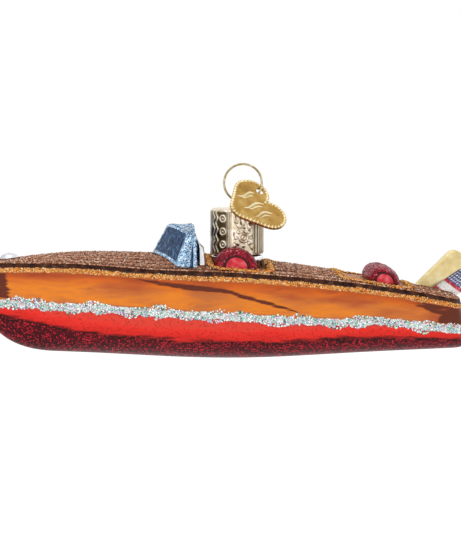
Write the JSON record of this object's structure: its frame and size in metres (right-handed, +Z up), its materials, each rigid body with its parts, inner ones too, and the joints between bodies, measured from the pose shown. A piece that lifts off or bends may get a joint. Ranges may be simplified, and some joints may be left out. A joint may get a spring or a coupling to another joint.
{
  "type": "blown-glass hanging ornament in the form of a varnished runabout motor boat",
  "caption": "Hand-painted blown-glass tree ornament shaped like a varnished runabout speedboat, with a stamped metal cap, wire loop and heart tag",
  "frame": {"origin": "inside top of the wire loop, where the ornament hangs on a hook", "axes": "+Z up as it hangs, -X towards the bow, -Y towards the port side"},
  "size_m": [0.1325, 0.034, 0.0515],
  "materials": {
    "red_lacquer": "transparent red lacquer over silvered glass",
    "amber_varnish": "streaked amber lacquer over silvered glass",
    "pearl_glitter": "white iridescent glitter",
    "gilt_glitter": "gold and orange glitter",
    "deck_paint": "brown lacquer with copper glitter lines",
    "dark_paint": "dark brown lacquer",
    "blue_lacquer": "brushed navy lacquer with blue glitter edges",
    "crimson_glitter": "crimson glitter over red lacquer",
    "silvered_glass": "bare silvered glass",
    "gold_lacquer": "gold lacquer over silvered glass",
    "flag_paint": "white, red and blue glitter paint",
    "stamped_metal": "embossed pale gold tinplate",
    "brass_wire": "drawn brass-plated spring wire",
    "tag_metal": "stamped gold-coloured tag"
  },
  "bodies": {
    "cap_and_loop": {"cap": "stamped_metal", "ring_clip": "brass_wire"},
    "boat": {"hull_bottom": "red_lacquer", "boot_stripe": "pearl_glitter", "topsides": "amber_varnish", "rub_band": "gilt_glitter", "covering_boards": "dark_paint", "deck": "deck_paint", "front_coaming": "gilt_glitter", "rear_coaming": "gilt_glitter", "windscreen": "blue_lacquer", "dashboard": "silvered_glass", "front_seat_port": "crimson_glitter", "front_seat_starboard": "crimson_glitter", "rear_seat": "crimson_glitter", "bow_light": "silvered_glass", "flag_staff": "gold_lacquer", "flag": "flag_paint", "neck": "silvered_glass"},
    "tag": {"heart_tag": "tag_metal"}
  },
  "joints": [
    {"name": "cap_pull", "type": "slide", "parent": "cap_and_loop", "child": "boat", "axis": [0, 0, -1], "range_m": [0, 0.01]},
    {"name": "tag_tip", "type": "hinge", "parent": "cap_and_loop", "child": "tag", "pos_m": [0.00441, 0, -0.00705], "axis": [-0.9422, 0.3351, 0], "range_deg": [0, 70]}
  ]
}
